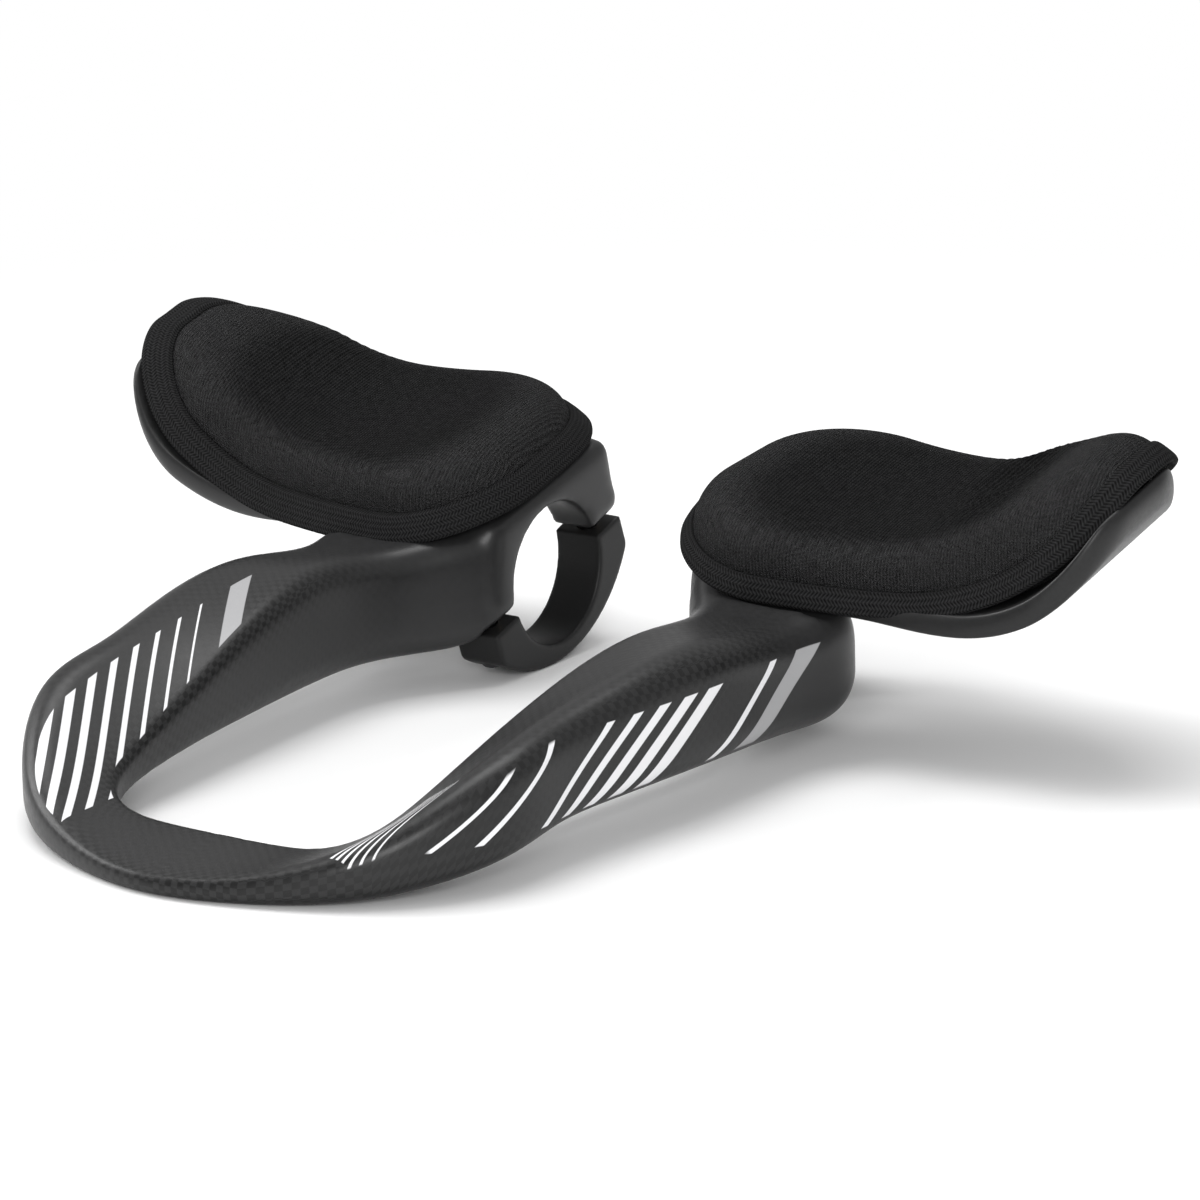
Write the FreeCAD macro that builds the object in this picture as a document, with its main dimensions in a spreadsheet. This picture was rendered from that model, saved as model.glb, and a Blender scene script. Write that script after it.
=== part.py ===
import math
import os

import FreeCAD
import Part
import Sketcher

Vector = FreeCAD.Vector
X_AXIS = Vector(1, 0, 0)
SAME_PLACE = 1e-6

doc = FreeCAD.newDocument("ClipOnAeroBar")
sheet = doc.addObject("Spreadsheet::Sheet", "Sizes")

# Driving dimensions, in millimetres and degrees
# The frame: X along the handlebar, Y to the rear, Z up, origin on the clamp axis midway
# between the two clamps. The bar lies as it rests on a table, on its caps and its bridge.
driving_sizes = {
    # Clamps on the handlebar
    "bar_dia": 31.8,
    "stem_gap": 50.0,
    "ring_width": 12.0,
    "split_tilt": 19.5,
    "split_gap": 1.5,
    "lug_reach": 25.0,
    "cap_drop": 19.7,
    "cap_belly_r": 33.0,
    "cap_corner_r": 2.5,
    "head_front": 26.0,
    "head_brow": 12.0,
    "head_rear": 31.0,
    "head_lip": 26.5,
    "head_top": 34.0,
    "head_lip_r": 5.0,
    "head_heel_r": 3.0,
    "head_crown_r": 8.0,
    "head_soft_r": 3.0,
    # Threaded fasteners
    "screw_dia": 4.0,
    "thread_play": 0.1,
    "screw_hole": 4.5,
    "socket_width": 3.0,
    "socket_depth": 2.0,
    "clamp_head_dia": 7.0,
    "clamp_head_height": 4.0,
    "clamp_screw_len": 16.0,
    "clamp_screw_offset": 20.2,
    "clamp_seat_depth": 6.5,
    "clamp_bore_dia": 7.4,
    "insert_dia": 6.0,
    "insert_len": 9.0,
    "insert_sink": 0.25,
    "drill_past": 1.0,
    # Armrest cups
    "pad_pitch": 14.0,
    "cup_inner_x": 24.0,
    "cup_heel_x": 30.0,
    "cup_outer_x": 129.0,
    "cup_front_in": 31.0,
    "cup_front_out": 20.5,
    "cup_rear_in": 36.0,
    "cup_rear_out": 26.0,
    "cup_front_in_r": 24.0,
    "cup_front_out_r": 18.0,
    "cup_rear_out_r": 18.0,
    "cup_rear_in_r": 28.0,
    "cup_low_x": 91.0,
    "cup_low_z": 16.0,
    "cup_inner_r": 390.0,
    "cup_outer_r": 44.0,
    "cup_wall": 4.0,
    "cup_rim_z": 39.5,
    "seat_play": 0.5,
    "cup_screw_x": 44.0,
    "cup_screw_front": 14.0,
    "cup_screw_rear": 20.0,
    "cup_floor_z": 20.7,
    "cup_bore_dia": 9.6,
    "washer_dia": 9.0,
    "washer_thick": 0.8,
    "cup_head_dia": 7.6,
    "cup_head_height": 2.2,
    "cup_screw_len": 8.0,
    "cup_insert_top": 18.0,
    "cup_insert_len": 6.0,
    # Saddles that carry the cups over the handlebar
    "saddle_inset": 6.0,
    "saddle_width": 32.0,
    "saddle_front": 18.0,
    "saddle_rear": 32.0,
    "saddle_floor": 10.0,
    "saddle_corner_r": 8.0,
    "saddle_relief": 0.5,
    # Pads
    "pad_inner_x": 21.5,
    "pad_heel_x": 26.0,
    "pad_outer_x": 129.0,
    "pad_front_in": 35.5,
    "pad_front_out": 17.0,
    "pad_rear_in": 36.5,
    "pad_rear_out": 33.0,
    "pad_front_in_r": 25.0,
    "pad_front_out_r": 22.0,
    "pad_rear_out_r": 19.0,
    "pad_rear_in_r": 30.0,
    "seam_low_x": 80.0,
    "seam_low_z": 24.0,
    "seam_inner_r": 260.0,
    "seam_outer_r": 62.0,
    "crown_low_x": 72.0,
    "crown_rise": 8.6,
    "crown_inner_r": 172.0,
    "crown_outer_r": 71.0,
    "crown_bevel": 4.0,
    "binding_width": 4.0,
    "binding_drop": 3.2,
    "binding_outer_r": 61.5,
    "binding_rise": 0.5,
    "soft_play": 0.3,
    "hook_thick": 1.2,
    "hook_inset": 8.0,
    "hook_corner_r": 6.0,
    "hook_start_x": 58.0,
    # The U bar's bend
    "bend_x": 20.0,
    "bend_y": 138.0,
    "bend_angle": 45.0,
}

# Sections of the U bar, from the middle of the bridge round the bend to the end of the arm.
# Inner and outer are plan distances from the bend's centre line, heights are above the table.
section_fields = ("inner", "outer", "crease", "ridge", "belly", "keel", "edge_r", "round_r")
section_sizes = {
    "bridge": (13.0, 40.0, 6.2, 4.5, 0.0, 0.0, 1.8, 1.8),
    "turn": (13.0, 36.0, 6.7, 6.0, 0.0, 0.2, 1.8, 2.2),
    "bend": (14.5, 33.5, 8.8, 14.5, 0.8, 2.0, 1.8, 4.0),
    "grip": (15.0, 40.2, 12.8, 29.6, 5.0, 5.5, 2.0, 5.0),
    "palm": (16.6, 42.0, 19.8, 34.0, 8.0, 8.0, 2.5, 6.0),
    "waist": (18.0, 44.0, 26.8, 35.5, 8.9, 8.6, 3.5, 6.5),
    "arm": (20.0, 47.0, 34.2, 35.2, 8.6, 8.4, 6.0, 8.0),
    "neck": (16.0, 47.5, 33.4, 31.5, 7.2, 8.6, 6.0, 8.0),
    "heel": (6.0, 47.0, 35.0, 33.5, 10.2, 11.5, 5.0, 8.0),
    "tail": (8.0, 42.0, 34.0, 32.5, 15.0, 15.0, 5.0, 7.0),
}
section_places = {
    "palm": 118.0,
    "waist": 98.0,
    "arm": 65.0,
    "neck": 38.0,
    "heel": 21.0,
    "tail": 16.8,
}
for station, numbers in section_sizes.items():
    for field, number in zip(section_fields, numbers):
        driving_sizes[station + "_" + field] = number
for station, number in section_places.items():
    driving_sizes[station + "_y"] = number

for row, (alias, number) in enumerate(driving_sizes.items(), start=1):
    sheet.set("A%d" % row, alias)
    sheet.set("B%d" % row, str(number))
    sheet.setAlias("B%d" % row, alias)
doc.recompute()


def size(text):
    """The value of an expression in the sheet's aliases."""
    return float(sheet.evalExpression(text))


def bound(text):
    """The same expression as the other objects of the document write it."""
    words = set(driving_sizes)
    out = ""
    word = ""
    for letter in text + " ":
        if letter.isalnum() or letter == "_":
            word += letter
            continue
        out += "Sizes." + word if word in words else word
        out += letter
        word = ""
    return out.strip()


def bind(thing, **properties):
    """Bind properties to sheet expressions; a double underscore stands for a dot."""
    for name, text in properties.items():
        thing.setExpression(name.replace("__", "."), bound(text))


def tilt(thing, angle):
    """Turn an object about the handlebar's axis by a sheet angle."""
    thing.Placement = FreeCAD.Placement(Vector(), FreeCAD.Rotation(X_AXIS, size(angle)))
    bind(thing, Placement__Rotation__Angle=angle)


# Sketches

def new_sketch(body, name, plane, depth="0"):
    """An empty sketch on one of the body's origin planes, moved along its normal."""
    sketch = body.newObject("Sketcher::SketchObject", name)
    planes = {feature.Role: feature for feature in body.Origin.OriginFeatures}
    sketch.AttachmentSupport = [(planes[plane], "")]
    sketch.MapMode = "FlatFace"
    bind(sketch, AttachmentOffset__Base__z=depth)
    return sketch


def drive(sketch, kind, places, text):
    """Add a constraint whose datum is a sheet expression."""
    index = sketch.addConstraint(Sketcher.Constraint(kind, *places, size(text)))
    bind(sketch, **{"Constraints[%d]" % index: text})


def put_point(sketch, geometry, place, x_text, y_text):
    drive(sketch, "DistanceX", (-1, 1, geometry, place), x_text)
    drive(sketch, "DistanceY", (-1, 1, geometry, place), y_text)


def rounded_quad(sketch, corners, radii):
    """Draw a quadrilateral, counter-clockwise, with a driven point and radius at each corner."""
    points = [Vector(size(x), size(y), 0) for x, y in corners]
    arcs = []
    for index, point in enumerate(points):
        back = (points[index - 1] - point).normalize()
        ahead = (points[(index + 1) % 4] - point).normalize()
        half_angle = back.getAngle(ahead) / 2
        radius = size(radii[index])
        centre = point + (back + ahead).normalize() * (radius / math.sin(half_angle))
        start = point + back * (radius / math.tan(half_angle)) - centre
        end = point + ahead * (radius / math.tan(half_angle)) - centre
        circle = Part.Circle(centre, Vector(0, 0, 1), radius)
        first = math.atan2(start.y, start.x)
        last = math.atan2(end.y, end.x)
        arcs.append(Part.ArcOfCircle(circle, first, last))
    sides = []
    for index, arc in enumerate(arcs):
        sides.append(Part.LineSegment(arc.EndPoint, arcs[(index + 1) % 4].StartPoint))
    sketch.addGeometry(arcs + sides, False)
    sketch.addGeometry([Part.Point(point) for point in points], True)
    for index in range(4):
        side = 4 + index
        last_side = 4 + (index - 1) % 4
        corner = 8 + index
        sketch.addConstraint(Sketcher.Constraint("Tangent", index, 2, side, 1))
        sketch.addConstraint(Sketcher.Constraint("Tangent", side, 2, (index + 1) % 4, 1))
        sketch.addConstraint(Sketcher.Constraint("PointOnObject", corner, 1, side))
        sketch.addConstraint(Sketcher.Constraint("PointOnObject", corner, 1, last_side))
        put_point(sketch, corner, 1, *corners[index])
        drive(sketch, "Radius", (index,), radii[index])


def circles(sketch, centres, diameter):
    for index, (x_text, y_text) in enumerate(centres):
        circle = Part.Circle(Vector(size(x_text), size(y_text), 0), Vector(0, 0, 1), size(diameter) / 2)
        sketch.addGeometry(circle, False)
        put_point(sketch, index, 3, x_text, y_text)
        drive(sketch, "Diameter", (index,), diameter)


def dish_region(sketch, curve, far_z):
    """The region between a dished curve and a level line.

    The curve is two arcs that meet level at the low point (x, z), one radius on each side.
    """
    low_x, low_z, inner_r, outer_r = curve
    low = Vector(size(low_x), size(low_z), 0)
    reach = low.x
    inner = Part.Circle(low + Vector(0, size(inner_r), 0), Vector(0, 0, 1), size(inner_r))
    outer = Part.Circle(low + Vector(0, size(outer_r), 0), Vector(0, 0, 1), size(outer_r))
    lowest = -math.pi / 2
    inner_arc = Part.ArcOfCircle(inner, lowest - math.asin(reach / size(inner_r)), lowest)
    outer_arc = Part.ArcOfCircle(outer, lowest, 0)
    far_left = Vector(0, size(far_z), 0)
    far_right = Vector(outer_arc.EndPoint.x, size(far_z), 0)
    sketch.addGeometry([
        inner_arc,
        outer_arc,
        Part.LineSegment(outer_arc.EndPoint, far_right),
        Part.LineSegment(far_right, far_left),
        Part.LineSegment(far_left, inner_arc.StartPoint),
    ], False)
    for pair in ((0, 2, 1, 1), (1, 2, 2, 1), (2, 2, 3, 1), (3, 2, 4, 1), (4, 2, 0, 1)):
        sketch.addConstraint(Sketcher.Constraint("Coincident", *pair))
    sketch.addConstraint(Sketcher.Constraint("Vertical", 2))
    sketch.addConstraint(Sketcher.Constraint("Vertical", 4))
    sketch.addConstraint(Sketcher.Constraint("Horizontal", 3))
    sketch.addConstraint(Sketcher.Constraint("Horizontal", 1, 3, 1, 2))
    sketch.addConstraint(Sketcher.Constraint("PointOnObject", 0, 1, -2))
    put_point(sketch, 0, 2, low_x, low_z)
    drive(sketch, "DistanceX", (-1, 1, 0, 3), low_x)
    drive(sketch, "DistanceX", (-1, 1, 1, 3), low_x)
    drive(sketch, "Radius", (0,), inner_r)
    drive(sketch, "Radius", (1,), outer_r)
    drive(sketch, "DistanceY", (-1, 1, 3, 1), far_z)


def dish_height(curve, x):
    """The height of a dished curve at a distance x from the middle of the bar."""
    low_x, low_z, inner_r, outer_r = [size(text) for text in curve]
    radius = inner_r if x < low_x else outer_r
    return low_z + radius - math.sqrt(radius ** 2 - (x - low_x) ** 2)


# Features

def new_body(label):
    body = doc.addObject("PartDesign::Body", label)
    body.Label = label
    return body


def pad(body, sketch, length):
    feature = body.newObject("PartDesign::Pad", sketch.Name + "_pad")
    feature.Profile = sketch
    feature.Length = size(length)
    bind(feature, Length=length)
    doc.recompute()
    return feature


def pocket(body, sketch, both_ways=False):
    """Cut a sketch through the whole body, against its normal or both ways."""
    before = body.Shape.Volume
    feature = body.newObject("PartDesign::Pocket", sketch.Name + "_cut")
    feature.Profile = sketch
    feature.Type = "ThroughAll"
    feature.Midplane = both_ways
    doc.recompute()
    if body.Shape.Volume > before - SAME_PLACE:
        raise RuntimeError(feature.Name + " cuts nothing")
    return feature


def dress_edges(body, kind, amount, wanted):
    """Fillet or chamfer the edges of the body's last feature that a test picks."""
    base = body.Tip
    names = ["Edge%d" % (i + 1) for i, edge in enumerate(base.Shape.Edges) if wanted(edge)]
    feature = body.newObject("PartDesign::" + kind, base.Name + "_" + kind.lower())
    feature.Base = (base, names)
    bind(feature, **{{"Fillet": "Radius", "Chamfer": "Size"}[kind]: amount})
    doc.recompute()
    if not names or "Invalid" in feature.State:
        raise RuntimeError(feature.Name + " dresses nothing")


def cylinder(name, centre, radius, height):
    """An upright Part::Cylinder whose foot stands at three sheet expressions."""
    shape = doc.addObject("Part::Cylinder", name)
    x_text, y_text, z_text = centre
    bind(shape, Radius=radius, Height=height, Placement__Base__x=x_text,
         Placement__Base__y=y_text, Placement__Base__z=z_text)
    return shape


def boolean(kind, name, base, tool):
    shape = doc.addObject("Part::" + kind, name)
    shape.Base = base
    shape.Tool = tool
    return shape


def soft_corner(name, base, plane_x, radius):
    """Round the edges that meet at a shape's highest corner in a plane square to X."""
    doc.recompute()
    in_plane = [corner for corner in base.Shape.Vertexes if abs(corner.X - size(plane_x)) < SAME_PLACE]
    top = max(in_plane, key=lambda corner: corner.Z).Point
    shape = doc.addObject("Part::Fillet", name)
    shape.Base = base
    shape.Edges = [
        (index, size(radius), size(radius)) for index, edge in enumerate(base.Shape.Edges, start=1)
        if any(corner.Point.isEqual(top, SAME_PLACE) for corner in edge.Vertexes)]
    return shape


def joined(kind, name, shapes):
    """A Part::MultiFuse (one solid) or a Part::Compound (separate solids)."""
    group = doc.addObject("Part::" + kind, name)
    if kind == "Compound":
        group.Links = shapes
    else:
        group.Shapes = shapes
    return group


def mirrored(source, label):
    twin = doc.addObject("Part::Mirroring", label)
    twin.Source = source
    twin.Normal = X_AXIS
    twin.Label = label
    return twin


# Places that several pieces share
ring_start = "stem_gap / 2"
ring_middle = "(stem_gap + ring_width) / 2"
rest_z = "(cap_belly_r - cap_drop) * cos(split_tilt) - cap_belly_r"
cup_bottom = ("cup_low_x", "cup_low_z", "cup_inner_r", "cup_outer_r")


def above_cup(rise):
    """The cup's dished curve, moved up square to itself."""
    return ("cup_low_x", "cup_low_z + %s" % rise, "cup_inner_r - (%s)" % rise, "cup_outer_r - (%s)" % rise)


def above_seam(rise, outer_r="seam_outer_r"):
    """The dished curve of the pad's seam, moved up."""
    return ("seam_low_x", "seam_low_z + (%s)" % rise, "seam_inner_r", outer_r)


def outline(piece, margin="0"):
    """Corners and radii of the pad's or the cup's plan outline, moved out by a margin."""
    corners = (
        ("%s_inner_x - (%s)" % (piece, margin), "-%s_front_in - (%s)" % (piece, margin)),
        ("%s_outer_x + (%s)" % (piece, margin), "-%s_front_out - (%s)" % (piece, margin)),
        ("%s_outer_x + (%s)" % (piece, margin), "%s_rear_out + (%s)" % (piece, margin)),
        ("%s_heel_x - (%s)" % (piece, margin), "%s_rear_in + (%s)" % (piece, margin)),
    )
    places = ("front_in", "front_out", "rear_out", "rear_in")
    return corners, ["%s_%s_r + (%s)" % (piece, place, margin) for place in places]


# The U bar: a carbon moulding whose section turns from a flat bridge blade to a tall arm,
# lofted in one go from one arm's end to the other
def u_section(body, station, side):
    """One section sketch; side is -1, 0 or 1, and heights start at the table."""
    name = "%s_%s" % (station, {-1: "left", 0: "middle", 1: "right"}[side])
    sketch = body.newObject("Sketcher::SketchObject", name)
    planes = {feature.Role: feature for feature in body.Origin.OriginFeatures}
    sketch.AttachmentSupport = [(planes["XZ_Plane"], "")]
    sketch.MapMode = "FlatFace"
    turns = {"bridge": "0", "turn": "0", "bend": "bend_angle"}
    turn = turns.get(station, "90")
    place = station + "_y" if station in section_places else "bend_y"
    axis = Vector(0, 1, 0)
    angle = "%d * (%s) - 90" % (side, turn)
    start = FreeCAD.Rotation(axis, size(angle) if size(angle) else -180)
    sketch.AttachmentOffset = FreeCAD.Placement(Vector(), start)
    bind(sketch, AttachmentOffset__Base__x="%d * bend_x" % side, AttachmentOffset__Base__y=rest_z,
         AttachmentOffset__Base__z=place, AttachmentOffset__Rotation__Angle=angle)
    inner, outer, crease, ridge, belly, keel, edge_r, round_r = [station + "_" + f for f in section_fields]
    corners = ((inner, keel), (outer, belly), (outer, ridge), (inner, crease))
    rounded_quad(sketch, corners, (edge_r, round_r, round_r, edge_r))
    return sketch


u_bar = new_body("u_bar")
half = [station for station in section_sizes if station != "bridge"]
sections = [u_section(u_bar, station, -1) for station in reversed(half)]
sections.append(u_section(u_bar, "bridge", 0))
sections += [u_section(u_bar, station, 1) for station in half]
u_loft = u_bar.newObject("PartDesign::AdditiveLoft", "u_loft")
u_loft.Profile = sections[0]
u_loft.Sections = sections[1:]
doc.recompute()


# Upper clamp halves, one on each arm, in the frame of the split
def clamp_head():
    body = new_body("clamp_head")
    sketch = new_sketch(body, "head_profile", "YZ_Plane", ring_start)
    half_gap = "split_gap / 2"
    corners = (
        ("-head_front", half_gap),
        ("head_lip", half_gap),
        ("head_rear", "head_top"),
        ("-head_brow", "head_top"),
    )
    rounded_quad(sketch, corners, ("head_lip_r", "head_heel_r", "head_crown_r", "head_crown_r"))
    pad(body, sketch, "ring_width")
    tilt(body, "split_tilt")
    return body


# Saddles that carry the cups, in the frame of the pads
def saddle_plan(margin):
    """Corners and radii of the saddle's plan outline, moved out by a margin."""
    near = "%s + saddle_inset - (%s)" % (ring_start, margin)
    far = "%s + saddle_inset + saddle_width + (%s)" % (ring_start, margin)
    front = "-saddle_front - (%s)" % margin
    rear = "saddle_rear + (%s)" % margin
    return ((near, front), (far, front), (far, rear), (near, rear)), ["saddle_corner_r"] * 4


def cup_saddle():
    body = new_body("cup_saddle")
    sketch = new_sketch(body, "saddle_outline", "XY_Plane", "saddle_floor")
    rounded_quad(sketch, *saddle_plan("0"))
    pad(body, sketch, "cup_rim_z - saddle_floor")
    relief = new_sketch(body, "saddle_relief", "YZ_Plane")
    circles(relief, [("0", "0")], "bar_dia + 2 * saddle_relief")
    pocket(body, relief, True)
    tilt(body, "pad_pitch")
    return body


def dished(label, outline, lower=None, upper=None, hollow=None):
    """A slab with a plan outline, cut along dished curves below and above."""
    body = new_body(label)
    plan = new_sketch(body, label + "_plan", "XY_Plane")
    rounded_quad(plan, *outline)
    pad(body, plan, "cup_rim_z + cup_outer_r")
    if lower:
        under = new_sketch(body, label + "_under", "XZ_Plane")
        dish_region(under, lower, "-cup_low_z")
        pocket(body, under, True)
    if upper:
        over = new_sketch(body, label + "_over", "XZ_Plane")
        dish_region(over, upper, "cup_rim_z + cup_outer_r + seam_outer_r")
        pocket(body, over, True)
    if hollow:
        inside = new_sketch(body, label + "_inside", "XY_Plane", "cup_rim_z + cup_outer_r")
        rounded_quad(inside, *hollow)
        pocket(body, inside)
    return body


cup_screws = (("cup_screw_x", "-cup_screw_front"), ("cup_screw_x", "cup_screw_rear"))
clamp_screws = ((ring_middle, "-clamp_screw_offset"), (ring_middle, "clamp_screw_offset"))


# Extension bar: the U, the heads and the saddles are one moulding, bored for the handlebar,
# seated for the cups and drilled for the threaded inserts
seat = dished("cup_seat", outline("cup", "seat_play"), lower=cup_bottom)
tilt(seat, "pad_pitch")
over_saddle = dished("over_saddle", saddle_plan("ring_width + saddle_inset"), lower=cup_bottom)
tilt(over_saddle, "pad_pitch")
carrier_blank = joined("MultiFuse", "carrier_blank", [clamp_head(), cup_saddle()])
carrier_sharp = boolean("Cut", "carrier_sharp", carrier_blank, over_saddle)
carrier = soft_corner("carrier", carrier_sharp, ring_start, "head_soft_r")
clamp_holes = joined("Compound", "clamp_holes", [
    cylinder("clamp_hole_%d" % i, (x, y, "0"), "insert_dia / 2",
             "split_gap / 2 + insert_sink + insert_len + drill_past")
    for i, (x, y) in enumerate(clamp_screws)
])
tilt(clamp_holes, "split_tilt")
cup_holes = joined("Compound", "cup_holes", [
    cylinder("cup_hole_%d" % i, (x, y, "cup_insert_top - cup_insert_len - drill_past"),
             "insert_dia / 2", "cup_wall + cup_insert_len + drill_past")
    for i, (x, y) in enumerate(cup_screws)
])
tilt(cup_holes, "pad_pitch")
cap_space = doc.addObject("Part::Box", "cap_space")
bind(cap_space, Length="ring_width + 2 * seat_play", Width="2 * (lug_reach + seat_play)",
     Height="split_gap / 2 + cap_belly_r", Placement__Base__x=ring_start + " - seat_play",
     Placement__Base__y="-lug_reach - seat_play", Placement__Base__z="-cap_belly_r")
cap_room = joined("Compound", "cap_room", [cap_space])
tilt(cap_room, "split_tilt")
handlebar = doc.addObject("Part::Cylinder", "handlebar")
handlebar.Placement.Rotation = FreeCAD.Rotation(Vector(0, 1, 0), 90)
bind(handlebar, Radius="bar_dia / 2", Height="stem_gap + 4 * saddle_width",
     Placement__Base__x="-stem_gap / 2 - 2 * saddle_width")
cutters = [seat, clamp_holes, cup_holes, cap_room]
twins = [mirrored(cutter, cutter.Name + "_twin") for cutter in cutters]
moulding = joined("MultiFuse", "moulding", [u_bar, carrier, mirrored(carrier, "carrier_twin")])
removed = joined("Compound", "removed", [handlebar] + cutters + twins)
extension_bar = boolean("Cut", "extension_bar", moulding, removed)
doc.recompute()


# Clamp caps: the lower clamp halves
def clamp_cap():
    body = new_body("right_clamp_cap")
    sketch = new_sketch(body, "cap_profile", "YZ_Plane", ring_start)
    reach = size("lug_reach")
    top = -size("split_gap") / 2
    radius = size("cap_belly_r")
    centre = Vector(0, radius - size("cap_drop"), 0)
    side = math.asin(reach / radius)
    lowest = -math.pi / 2
    belly = Part.ArcOfCircle(Part.Circle(centre, Vector(0, 0, 1), radius), lowest - side, lowest + side)
    front = Vector(-reach, top, 0)
    rear = Vector(reach, top, 0)
    sketch.addGeometry([
        belly,
        Part.LineSegment(belly.EndPoint, rear),
        Part.LineSegment(rear, front),
        Part.LineSegment(front, belly.StartPoint),
    ], False)
    for pair in ((0, 2, 1, 1), (1, 2, 2, 1), (2, 2, 3, 1), (3, 2, 0, 1)):
        sketch.addConstraint(Sketcher.Constraint("Coincident", *pair))
    sketch.addConstraint(Sketcher.Constraint("Vertical", 1))
    sketch.addConstraint(Sketcher.Constraint("Vertical", 3))
    sketch.addConstraint(Sketcher.Constraint("PointOnObject", 0, 3, -2))
    put_point(sketch, 2, 1, "lug_reach", "-split_gap / 2")
    put_point(sketch, 2, 2, "-lug_reach", "-split_gap / 2")
    drive(sketch, "Radius", (0,), "cap_belly_r")
    drive(sketch, "DistanceY", (-1, 1, 0, 3), "cap_belly_r - cap_drop")
    pad(body, sketch, "ring_width")
    level = -size("split_gap") / 2
    dress_edges(body, "Fillet", "cap_corner_r", lambda edge: (
        abs(edge.Vertexes[0].Y - edge.Vertexes[-1].Y) < SAME_PLACE
        and abs(abs(edge.CenterOfMass.y) - reach) < SAME_PLACE
        and edge.CenterOfMass.z < level - SAME_PLACE
        and abs(edge.tangentAt(edge.FirstParameter).x) > 0.99))
    bore = new_sketch(body, "cap_bore", "YZ_Plane")
    circles(bore, [("0", "0")], "bar_dia")
    pocket(body, bore, True)
    holes = new_sketch(body, "cap_screw_holes", "XY_Plane")
    circles(holes, clamp_screws, "screw_hole")
    pocket(body, holes)
    seats = new_sketch(body, "cap_screw_seats", "XY_Plane", "-clamp_seat_depth")
    circles(seats, clamp_screws, "clamp_bore_dia")
    pocket(body, seats)
    tilt(body, "split_tilt")
    return body


# Screws, inserts and washers
def socket_screws(label, centres, seat_z, length, head_dia, head_height, upright, angle):
    """Socket screws as a group: head below the seat and shank up, or the other way round."""
    screws = []
    for index, (x, y) in enumerate(centres):
        name = "%s_%d" % (label, index)
        shank_z = seat_z if upright else "%s - %s" % (seat_z, length)
        head_z = "%s - %s" % (seat_z, head_height) if upright else seat_z
        socket_z = head_z if upright else "%s + %s - socket_depth" % (seat_z, head_height)
        shank = cylinder(name + "_shank", (x, y, shank_z), "(screw_dia - thread_play) / 2", length)
        head = cylinder(name + "_head", (x, y, head_z), head_dia + " / 2", head_height)
        socket = doc.addObject("Part::Prism", name + "_socket")
        socket.Polygon = 6
        bind(socket, Circumradius="socket_width / 2 / cos(30)", Height="socket_depth",
             Placement__Base__x=x, Placement__Base__y=y, Placement__Base__z=socket_z)
        solid = joined("MultiFuse", name + "_solid", [shank, head])
        screws.append(boolean("Cut", name, solid, socket))
    group = joined("Compound", label, screws)
    tilt(group, angle)
    return group


def tubes(label, centres, foot_z, height, outer_dia, inner_dia, angle):
    """Round sleeves as a group, such as inserts and washers."""
    sleeves = []
    for index, (x, y) in enumerate(centres):
        name = "%s_%d" % (label, index)
        outer = cylinder(name + "_outer", (x, y, foot_z), outer_dia + " / 2", height)
        inner = cylinder(name + "_inner", (x, y, foot_z), inner_dia + " / 2", height)
        sleeves.append(boolean("Cut", name, outer, inner))
    group = joined("Compound", label, sleeves)
    tilt(group, angle)
    return group


cap = clamp_cap()
clamp_bolts = socket_screws("right_clamp_bolts", clamp_screws, "-clamp_seat_depth", "clamp_screw_len",
                            "clamp_head_dia", "clamp_head_height", True, "split_tilt")
clamp_inserts = tubes("right_clamp_inserts", clamp_screws, "split_gap / 2 + insert_sink", "insert_len",
                      "insert_dia", "screw_dia", "split_tilt")
cup_bolts = socket_screws("right_cup_bolts", cup_screws, "cup_floor_z + washer_thick", "cup_screw_len",
                          "cup_head_dia", "cup_head_height", False, "pad_pitch")
cup_washers = tubes("right_cup_washers", cup_screws, "cup_floor_z", "washer_thick",
                    "washer_dia", "screw_hole", "pad_pitch")
cup_inserts = tubes("right_cup_inserts", cup_screws, "cup_insert_top - cup_insert_len", "cup_insert_len",
                    "insert_dia", "screw_dia", "pad_pitch")


# Armrest cup: a moulded dish with a high outer wing, spot-faced for its two screws
def armrest_cup():
    body = dished("right_armrest_cup", outline("cup"), cup_bottom, above_cup("cup_wall"))
    rim = new_sketch(body, "cup_rim", "XY_Plane", "cup_rim_z")
    rounded_quad(rim, *outline("cup", "seat_play"))
    trim = pocket(body, rim)
    trim.Reversed = True
    doc.recompute()
    holes = new_sketch(body, "cup_screw_holes", "XY_Plane", "cup_rim_z")
    circles(holes, cup_screws, "screw_hole")
    pocket(body, holes)
    floors = new_sketch(body, "cup_screw_floors", "XY_Plane", "cup_floor_z")
    circles(floors, cup_screws, "cup_bore_dia")
    up = pocket(body, floors)
    up.Reversed = True
    doc.recompute()
    tilt(body, "pad_pitch")
    return body


cup = armrest_cup()


# Pads: a foam cushion, the binding tape round its edge and the hook patch that holds it
def pad_cushion():
    inset = "-(binding_width + soft_play)"
    crown = ("crown_low_x", "seam_low_z + crown_rise", "crown_inner_r", "crown_outer_r")
    body = dished("right_pad_cushion", outline("pad", inset),
                  above_cup("cup_wall + hook_thick + soft_play"), crown)
    low_x = size("crown_low_x")
    dress_edges(body, "Chamfer", "crown_bevel", lambda edge: (
        all(abs(dish_height(crown, vertex.X) - vertex.Z) < 0.01 for vertex in edge.Vertexes)
        and any(abs(vertex.X - low_x) > 0.01 for vertex in edge.Vertexes)))
    tilt(body, "pad_pitch")
    return body


def pad_binding():
    body = dished("right_pad_binding", outline("pad"), above_seam("-binding_drop", "binding_outer_r"),
                  above_seam("binding_rise"), outline("pad", "-binding_width"))
    tilt(body, "pad_pitch")
    return body


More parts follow.
